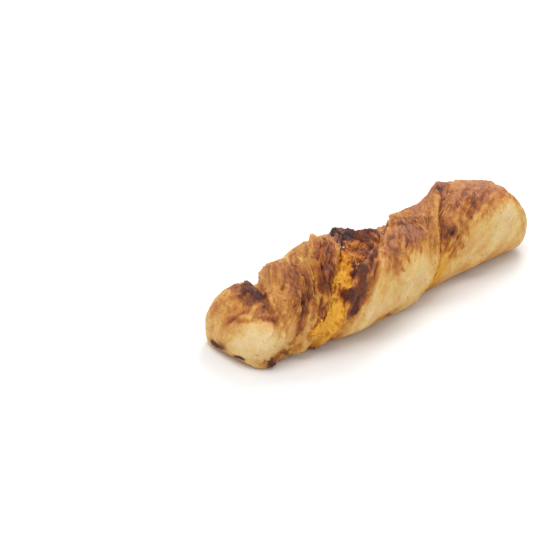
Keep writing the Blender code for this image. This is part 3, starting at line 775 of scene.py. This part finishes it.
def cheese_strip(name, band, columns, rings, lumps, seed, material):
    """A lumpy band of melted cheese along the straw between two bearings, its underside down in the groove."""
    mesh, ring, column = ball(columns, rings)
    low, high = band[0][0], band[-1][0]
    station = ring_stations(low, high, rings, 1)[ring]
    around = 2 * math.pi * column / columns
    left, right, proud, toast = curve(station, band)
    closed = np.sqrt(np.clip(1 - np.abs(2 * (station - low) / (high - low) - 1) ** 24, 0, 1))
    none = 0 * station
    left = left + 7 * clouds(np.stack([station, none, none], -1), (4, 1, 1), seed, 3, 0.6)
    right = right + 7 * clouds(np.stack([station, none + 50, none], -1), (5, 1, 1), seed + 3, 3, 0.6)
    centre, half = (left + right) / 2, np.clip((right - left) / 2, 1.5, None) * closed
    edge = centre + half * np.cos(around)
    top = np.sin(around)
    flat = crust(station, edge)
    rough = clouds(flat, 3.4, seed + 5, 4, 0.66)
    fine = np.abs(clouds(flat, 2.1, seed + 9, 3, 0.65)) * 2.6 - 0.7
    caught = 0.4 + 0.5 * ease((toast - 0.45) / 0.25)
    over = ease(top * (1.5 - 0.68 * ease((proud + 0.5) / 1.5)))
    lumpy = (1 + 0.5 * ease(proud / 2)) * lumps * over * (1.3 * rough - caught * fine)
    lift = np.where(top > 0, proud * over + lumpy, 4 * top)
    lift = lift - (1.1 + 0.9 * rough) * (1 - over)
    ends = stretch(station, low, 4, high, 4)
    places = crust(station, edge, lift * ends - 3 * (1 - ends))
    spread = 1 + 1.3 * ease((toast - 0.3) / 0.4)
    toast = toast + spread * (0.12 * rough + 0.1 * fine + 0.1 * clouds(flat, 7, seed + 13, 2))
    rim = ease((np.abs(np.cos(around)) - 0.72) / 0.28)
    toast = toast + 0.2 * rim * (0.6 + rough)
    bearing = wrapped(edge + turn(station))
    for mark in MARKS["char"]:
        toast = toast + 0.8 * mark_amount(station, bearing, rough, mark)
    return as_piece(mesh, name, places, {"toast": np.clip(toast, 0, 1)}, material, "cheese_filling")


# Loose flakes of crust: how many, stations, bearings, half length and half width in mm, how far they lift in
# mm, and how much darker than the crust they are.
FLAKE_ZONES = (
    (40, (-62, -42), (16, 86), 3.6, 0.6, 0.7, 0.02), (10, (-52, -44), (100, 135), 3.2, 0.6, 0.3, 0.02),
    (24, (-50, -28), (40, 100), 4, 0.5, 0.8, -0.12), (34, (20, 46), (4, 100), 3.4, 0.55, 0.6, -0.06),
    (22, (42, 76), (36, 90), 3.4, 0.6, 0.4, 0.03), (14, (-10, 24), (56, 100), 3.4, 0.7, 0.5, 0.04),
    (26, (-70, -10), (140, 215), 4, 0.9, 0.7, 0.04), (26, (0, 88), (140, 215), 4, 0.9, 0.7, 0.04),
)

# Larger torn flaps, with the same columns as a sliver's row.
TORN_FLAPS = (
    (53.6, 110, 6, 1.8, 0.45, 24, 1.1, -0.2, 0.1), (50, 98, 5, 1.6, 0.4, 44, -1, -0.2, 0),
    (-38, 104, 8, 1.5, 0.4, 60, -1.4, -0.2, -0.16), (-46.5, 70, 9, 1.2, 0.35, 74, -1.2, -0.2, -0.12),
    (-50.5, 38, 6, 1.1, 0.35, 62, -1.2, -0.2, -0.12), (-56.5, 20, 5, 1.1, 0.35, 64, -1, -0.2, -0.1),
)


def folds_lean(station):
    """The way the folds run at a station, in degrees from along the straw towards a rising bearing."""
    return np.degrees(np.arctan2((turn(station + 1) - turn(station - 1)) / 2 * ARC, 1))


def sliver_mesh(count, columns, rings):
    """Many small closed balls in one mesh, with each vertex's number of ball and place on the unit ball."""
    mesh = ball(columns, rings)[0]
    bmesh.ops.rotate(mesh, cent=(0, 0, 0), matrix=Matrix.Rotation(math.pi / 2, 3, "Y"), verts=mesh.verts[:])
    first = mesh.verts[:] + mesh.edges[:] + mesh.faces[:]
    at = np.array([vertex.co[:] for vertex in mesh.verts])
    for _ in range(count - 1):
        bmesh.ops.duplicate(mesh, geom=first)
    return mesh, np.repeat(np.arange(count), len(at)), np.tile(at, (count, 1))


def slivers(name, rows, columns, rings, paint, material, node):
    """Thin slivers that lie on the crust. Rows hold station, bearing, half length, half width, half thickness,
    lean, how far one long edge lifts, how far the ends lift, and a shade."""
    mesh, number, at = sliver_mesh(len(rows), columns, rings)
    rows = np.array(rows)[number]
    bow = 1 - at[:, 0] ** 2
    along = at[:, 0] * rows[:, 2]
    across = at[:, 1] * rows[:, 3] + 0.35 * rows[:, 3] * np.sin(3 * at[:, 0] + number)
    cosine, sine = np.cos(np.radians(rows[:, 5])), np.sin(np.radians(rows[:, 5]))
    station = rows[:, 0] + along * cosine - across * sine
    edge = rows[:, 1] + (along * sine + across * cosine) / ARC - turn(station)
    upward = np.sign(rows[:, 6])
    lift = at[:, 2] * rows[:, 4] + rows[:, 6] * ease((at[:, 1] * upward + 1) / 2) * upward
    lift = lift + rows[:, 7] * (1 - bow) - 0.2 + torn_relief(station, edge, crust(station, edge))[0]
    places = crust(station, edge, lift)
    places[:, 2] = np.maximum(places[:, 2], 0)
    amounts = paint(station, edge, places, at, rows[:, 8])
    return as_piece(mesh, name, places, amounts, material, node)


def flake_rows():
    """The loose flakes, drawn from a fixed seed."""
    draw = np.random.default_rng(23)
    rows = []
    for count, stations, bearings, long, wide, rise, dark in FLAKE_ZONES:
        for _ in range(count):
            station = draw.uniform(*stations)
            size = draw.uniform(0.55, 1.25)
            lean = float(folds_lean(station)) + draw.uniform(-16, 16)
            rim = rise * draw.uniform(0.5, 1.2) * draw.choice((-1, 1))
            row = (station, draw.uniform(*bearings), long * size, wide * draw.uniform(0.7, 1.4))
            rows.append(row + (0.22, lean, rim, draw.uniform(-0.3, 0.1), dark + draw.uniform(-0.14, 0.14)))
    return rows + list(TORN_FLAPS)


def flake_paint(station, edge, places, at, shade):
    """Flakes are baked as the crust under them, and paler along their thin rims."""
    bake, char, stain = browning(station, edge, places)
    bake = bake + shade - 0.12 * np.abs(at[:, 1]) ** 3
    return {"bake": np.clip(bake, 0.05, 0.95), "char": 0.4 * char, "stain": stain}


# Strings of cheese: how many, stations, which rim (1 past the cheese, -1 before it, 0 the seam's), half length
# in mm, and how toasted they are.
THREAD_ZONES = ((15, (-56, -28), 1, 3, -0.05), (8, (-50, -28), -1, 2.4, 0), (8, (18, 30), 0, 2.2, 0))


def thread_rows():
    """Thin strings of cheese that lie over the rims of the open edge and of the seam."""
    draw = np.random.default_rng(31)
    rows = []
    for count, stations, side, long, toast in THREAD_ZONES:
        for _ in range(count):
            station = draw.uniform(*stations)
            left, right = curve(station, SEAM_BAND if side == 0 else CHEESE_BAND)[:2]
            rim = right if side > 0 else left
            bearing = rim + draw.uniform(-6, 4) + float(turn(station))
            lean = float(folds_lean(station)) + draw.uniform(-60, 60)
            thick = draw.uniform(0.28, 0.5)
            row = (station, bearing, long * draw.uniform(0.5, 1.2), thick, thick, lean, 0.01)
            rows.append(row + (draw.uniform(-0.5, 0.3), toast + draw.uniform(-0.05, 0.15)))
    return rows


def thread_paint(station, edge, places, at, shade):
    """Threads are toasted as their row says, a little unevenly."""
    return {"toast": np.clip(shade + 0.06 * clouds(places, 2, 61, 2), 0, 1)}


def shade_property(name, description, default):
    """A colour that a user would change, as screen values."""
    return bpy.props.FloatVectorProperty(
        name=name, description=description, default=default, size=3, min=0, max=1, subtype="COLOR_GAMMA"
    )


def amount_property(name, description, default, low, high, **kind):
    """A number that a user would change, with its limits and its unit or subtype."""
    kind.update(name=name, description=description, default=default, min=low, max=high)
    return bpy.props.FloatProperty(**kind)


def count_property(name, description, default, low, high):
    """A whole number that a user would change, with its limits."""
    return bpy.props.IntProperty(name=name, description=description, default=default, min=low, max=high)


class StrawPastryLook(bpy.types.PropertyGroup):
    """Colours and sizes of the pastry."""

    pale: shade_property("Pale dough", "Colour of the least baked dough", (0.87, 0.785, 0.585))
    cream: shade_property("Cream crust", "Colour of the lightly baked crust", (0.835, 0.69, 0.405))
    golden: shade_property("Golden crust", "Colour of the golden crust", (0.765, 0.54, 0.24))
    brown: shade_property("Brown crust", "Colour of the browned crust", (0.64, 0.38, 0.155))
    dark: shade_property("Dark crust", "Colour of the darkest baked crust", (0.48, 0.25, 0.13))
    burnt: shade_property("Burnt crust", "Colour where browning turns to burning", (0.34, 0.16, 0.08))
    scorch: shade_property("Scorch", "Colour at the rim of a burnt spot", (0.46, 0.22, 0.12))
    plum: shade_property("Plum char", "Colour between a burnt spot's rim and its heart", (0.32, 0.15, 0.11))
    soot: shade_property("Soot", "Colour at the heart of a burnt spot", (0.23, 0.15, 0.13))
    speck: shade_property("Specks", "Tint of the small toasted specks", (0.86, 0.72, 0.6))
    blush: shade_property("Blush", "Tint of the rosier patches of the crust", (0.97, 0.88, 0.92))
    stain: shade_property("Cheese stain", "Tint that melted cheese leaves on the crust", (1, 0.9, 0.42))
    roughness: amount_property("Roughness", "How dull the crust is", 0.52, 0.2, 0.9, subtype="FACTOR")
    relief: amount_property("Flakiness", "How strongly layers, blisters and flakes stand out", 1, 0, 2)
    rings: count_property("Rings", "Rings of the crust's mesh", 440, 60, 460)
    columns: count_property("Columns", "Columns of the crust's mesh", 214, 40, 215)


class StrawCheeseLook(bpy.types.PropertyGroup):
    """Colours and sizes of the melted cheese."""

    yellow: shade_property("Melted cheese", "Colour of the freshly melted cheese", (0.92, 0.69, 0.24))
    orange: shade_property("Orange cheese", "Colour of the lightly baked cheese", (0.76, 0.46, 0.07))
    toasted: shade_property("Toasted cheese", "Colour of the browned cheese", (0.45, 0.19, 0.012))
    amber: shade_property("Amber cheese", "Colour of the deep brown cheese", (0.31, 0.105, 0.012))
    black: shade_property("Burnt cheese", "Colour of the burnt cheese", (0.205, 0.13, 0.105))
    roughness: amount_property("Roughness", "How dull the cheese is", 0.27, 0.1, 0.9, subtype="FACTOR")
    lumps: amount_property("Lumps", "Height of the lumps", 0.0011, 0, 0.004, unit="LENGTH")


class StrawStageLook(bpy.types.PropertyGroup):
    """The floor, the lights and the camera."""

    floor: shade_property("Floor", "Colour of the studio floor", (0.93, 0.93, 0.93))
    floor_width: amount_property("Floor width", "Width of the studio floor", 4, 1, 20, unit="LENGTH")
    key_power: amount_property("Key light", "Power of the key light", 4.8, 0, 50, unit="POWER")
    fill_power: amount_property("Fill light", "Power of the fill light", 1.8, 0, 50, unit="POWER")
    sheen_power: amount_property("Sheen light", "Power of the light behind", 5.6, 0, 50, unit="POWER")
    sky: amount_property("Surround", "Strength of the pale surround", 0.76, 0, 5)
    lens: amount_property("Focal length", "Focal length of the camera", 86.67, 20, 300, unit="CAMERA")


class STRAW_OT_pastry(bpy.types.Operator):
    """Shapes the twisted, baked puff pastry with its lips, layer edges, blisters and burnt spots"""

    bl_idname = "straw.pastry"
    bl_label = "Pastry"

    def execute(self, context):
        look = context.scene.straw_pastry
        mesh, ring, column = ball(look.columns, look.rings)
        station = ring_stations(TIP_NEAR, TIP_FAR, look.rings, 1.6)[ring]
        edge = wrapped(360 * column / look.columns)
        plain = crust(station, edge)
        bake, char, stain = browning(station, edge, plain)
        lift, shade = crust_detail(station, edge, plain, bake, char)
        torn, rim_and_shade_tint = torn_relief(station, edge, plain)
        lift = (lift + torn) * look.relief - groove(station, edge)
        places = crust(station, edge, lift, sideways_push(station, edge))
        places[:, 2] = np.maximum(places[:, 2], 0)
        # The tints add painted shade beside the layer edges and ribs, and paler rims, to the browning.
        bake = np.clip(bake + rim_and_shade_tint + shade, 0, 1)
        amounts = {"bake": bake, "char": char, "stain": stain}
        as_piece(mesh, "baked_pastry", places, amounts, crust_finish(look), "pastry")
        return {"FINISHED"}


class STRAW_OT_cheese(bpy.types.Operator):
    """Melts the cheese along the open edge and along the seam"""

    bl_idname = "straw.cheese"
    bl_label = "Cheese"

    def execute(self, context):
        look = context.scene.straw_cheese
        finish = cheese_finish(look)
        lumps = look.lumps / MM
        cheese_strip("cheese_open_edge", CHEESE_BAND, 72, 420, lumps, 51, finish)
        cheese_strip("cheese_boiled_over", BURNT_BAND, 48, 170, 1.2 * lumps, 91, finish)
        cheese_strip("cheese_seam", SEAM_BAND, 40, 330, 0.6 * lumps, 71, finish)
        return {"FINISHED"}


class STRAW_OT_flakes(bpy.types.Operator):
    """Lays loose flakes of crust on the folds and strings of cheese over the rims"""

    bl_idname = "straw.flakes"
    bl_label = "Flakes and threads"

    def execute(self, context):
        crust_look = bpy.data.materials["baked_crust"]
        cheese_look = bpy.data.materials["melted_cheese"]
        slivers("crust_flakes", flake_rows(), 8, 10, flake_paint, crust_look, "pastry")
        slivers("cheese_threads", thread_rows(), 6, 12, thread_paint, cheese_look, "cheese_filling")
        return {"FINISHED"}


# The camera: where it stands in mm, the way that its back faces, and its right and up.
CAMERA_PLACE = (-386.55, -388.69, 299.26)
CAMERA_BACK = (-0.558214, -0.689337, 0.461749)
CAMERA_RIGHT = (0.777146, -0.629320, 0)
CAMERA_UP = (0.290588, 0.358846, 0.887011)
# The lights: each one's name, place and width in metres.
LIGHTS = (
    ("key", (-0.35, -0.05, 1), 0.7), ("fill", (-0.35, -1.1, 0.45), 1), ("sheen", (0.62, 0.42, 0.72), 0.5),
)
LIT_PLACE = (0, 0, 0.02)


def soft_light(name, place, width, power):
    """A square soft light that looks at the straw."""
    lamp = bpy.data.lights.new(name, "AREA")
    lamp.size = width
    lamp.energy = power
    held = bpy.data.objects.new(name, lamp)
    bpy.context.scene.collection.objects.link(held)
    held.location = place
    held.rotation_euler = (Vector(LIT_PLACE) - Vector(place)).to_track_quat("-Z", "Y").to_euler()


class STRAW_OT_stage(bpy.types.Operator):
    """Sets the pale floor, the soft studio lights and the camera"""

    bl_idname = "straw.stage"
    bl_label = "Stage"

    def execute(self, context):
        look = context.scene.straw_stage
        scene = context.scene
        scene.view_settings.view_transform = "Standard"
        scene.view_settings.look = "None"
        mesh = bmesh.new()
        bmesh.ops.create_grid(mesh, x_segments=1, y_segments=1, size=look.floor_width / 2)
        data = bpy.data.meshes.new("studio_floor")
        mesh.to_mesh(data)
        mesh.free()
        floor = bpy.data.objects.new("studio_floor", data)
        scene.collection.objects.link(floor)
        material, tree, shader = new_finish("floor_finish")
        put(tree, shader, Base_Color=(*linear(look.floor), 1), Roughness=0.75, Specular_IOR_Level=0.2)
        data.materials.append(material)
        world = bpy.data.worlds.new("pale_surround")
        world.use_nodes = True
        sky = world.node_tree
        put(sky, sky.nodes["Background"], Color=(1, 1, 1, 1), Strength=look.sky)
        scene.world = world
        for name, place, width in LIGHTS:
            soft_light(name + "_light", place, width, getattr(look, name + "_power"))
        camera = bpy.data.cameras.new("camera")
        camera.lens = look.lens
        camera.sensor_width = 36
        camera.clip_start = 0.01
        seat = bpy.data.objects.new("camera", camera)
        scene.collection.objects.link(seat)
        turned = Matrix((CAMERA_RIGHT, CAMERA_UP, CAMERA_BACK)).transposed().to_4x4()
        seat.matrix_world = Matrix.Translation(Vector(CAMERA_PLACE) * MM) @ turned
        scene.camera = seat
        return {"FINISHED"}


class STRAW_PT_panel(bpy.types.Panel):
    """Lists the straw's pieces and what can be changed on them"""

    bl_idname = "STRAW_PT_panel"
    bl_label = "Cheese straw"
    bl_space_type = "VIEW_3D"
    bl_region_type = "UI"
    bl_category = "Cheese straw"

    def draw(self, context):
        groups = (
            (context.scene.straw_pastry, StrawPastryLook, STRAW_OT_pastry),
            (context.scene.straw_cheese, StrawCheeseLook, STRAW_OT_cheese),
            (context.scene.straw_stage, StrawStageLook, STRAW_OT_stage),
        )
        for look, kind, operator in groups:
            box = self.layout.box()
            for name in kind.__annotations__:
                box.prop(look, name)
            box.operator(operator.bl_idname)


CLASSES = (
    StrawPastryLook, StrawCheeseLook, StrawStageLook,
    STRAW_OT_pastry, STRAW_OT_cheese, STRAW_OT_flakes, STRAW_OT_stage, STRAW_PT_panel,
)


def register():
    """Adds the classes and the scene's settings."""
    for kind in CLASSES:
        bpy.utils.register_class(kind)
    bpy.types.Scene.straw_pastry = bpy.props.PointerProperty(type=StrawPastryLook)
    bpy.types.Scene.straw_cheese = bpy.props.PointerProperty(type=StrawCheeseLook)
    bpy.types.Scene.straw_stage = bpy.props.PointerProperty(type=StrawStageLook)


def unregister():
    """Takes the scene's settings and the classes away again."""
    del bpy.types.Scene.straw_stage
    del bpy.types.Scene.straw_cheese
    del bpy.types.Scene.straw_pastry
    for kind in reversed(CLASSES):
        bpy.utils.unregister_class(kind)


def main():
    """Builds the straw and its stage."""
    register()
    bpy.ops.straw.pastry()
    bpy.ops.straw.cheese()
    bpy.ops.straw.flakes()
    bpy.ops.straw.stage()


if __name__ == "__main__":
    main()
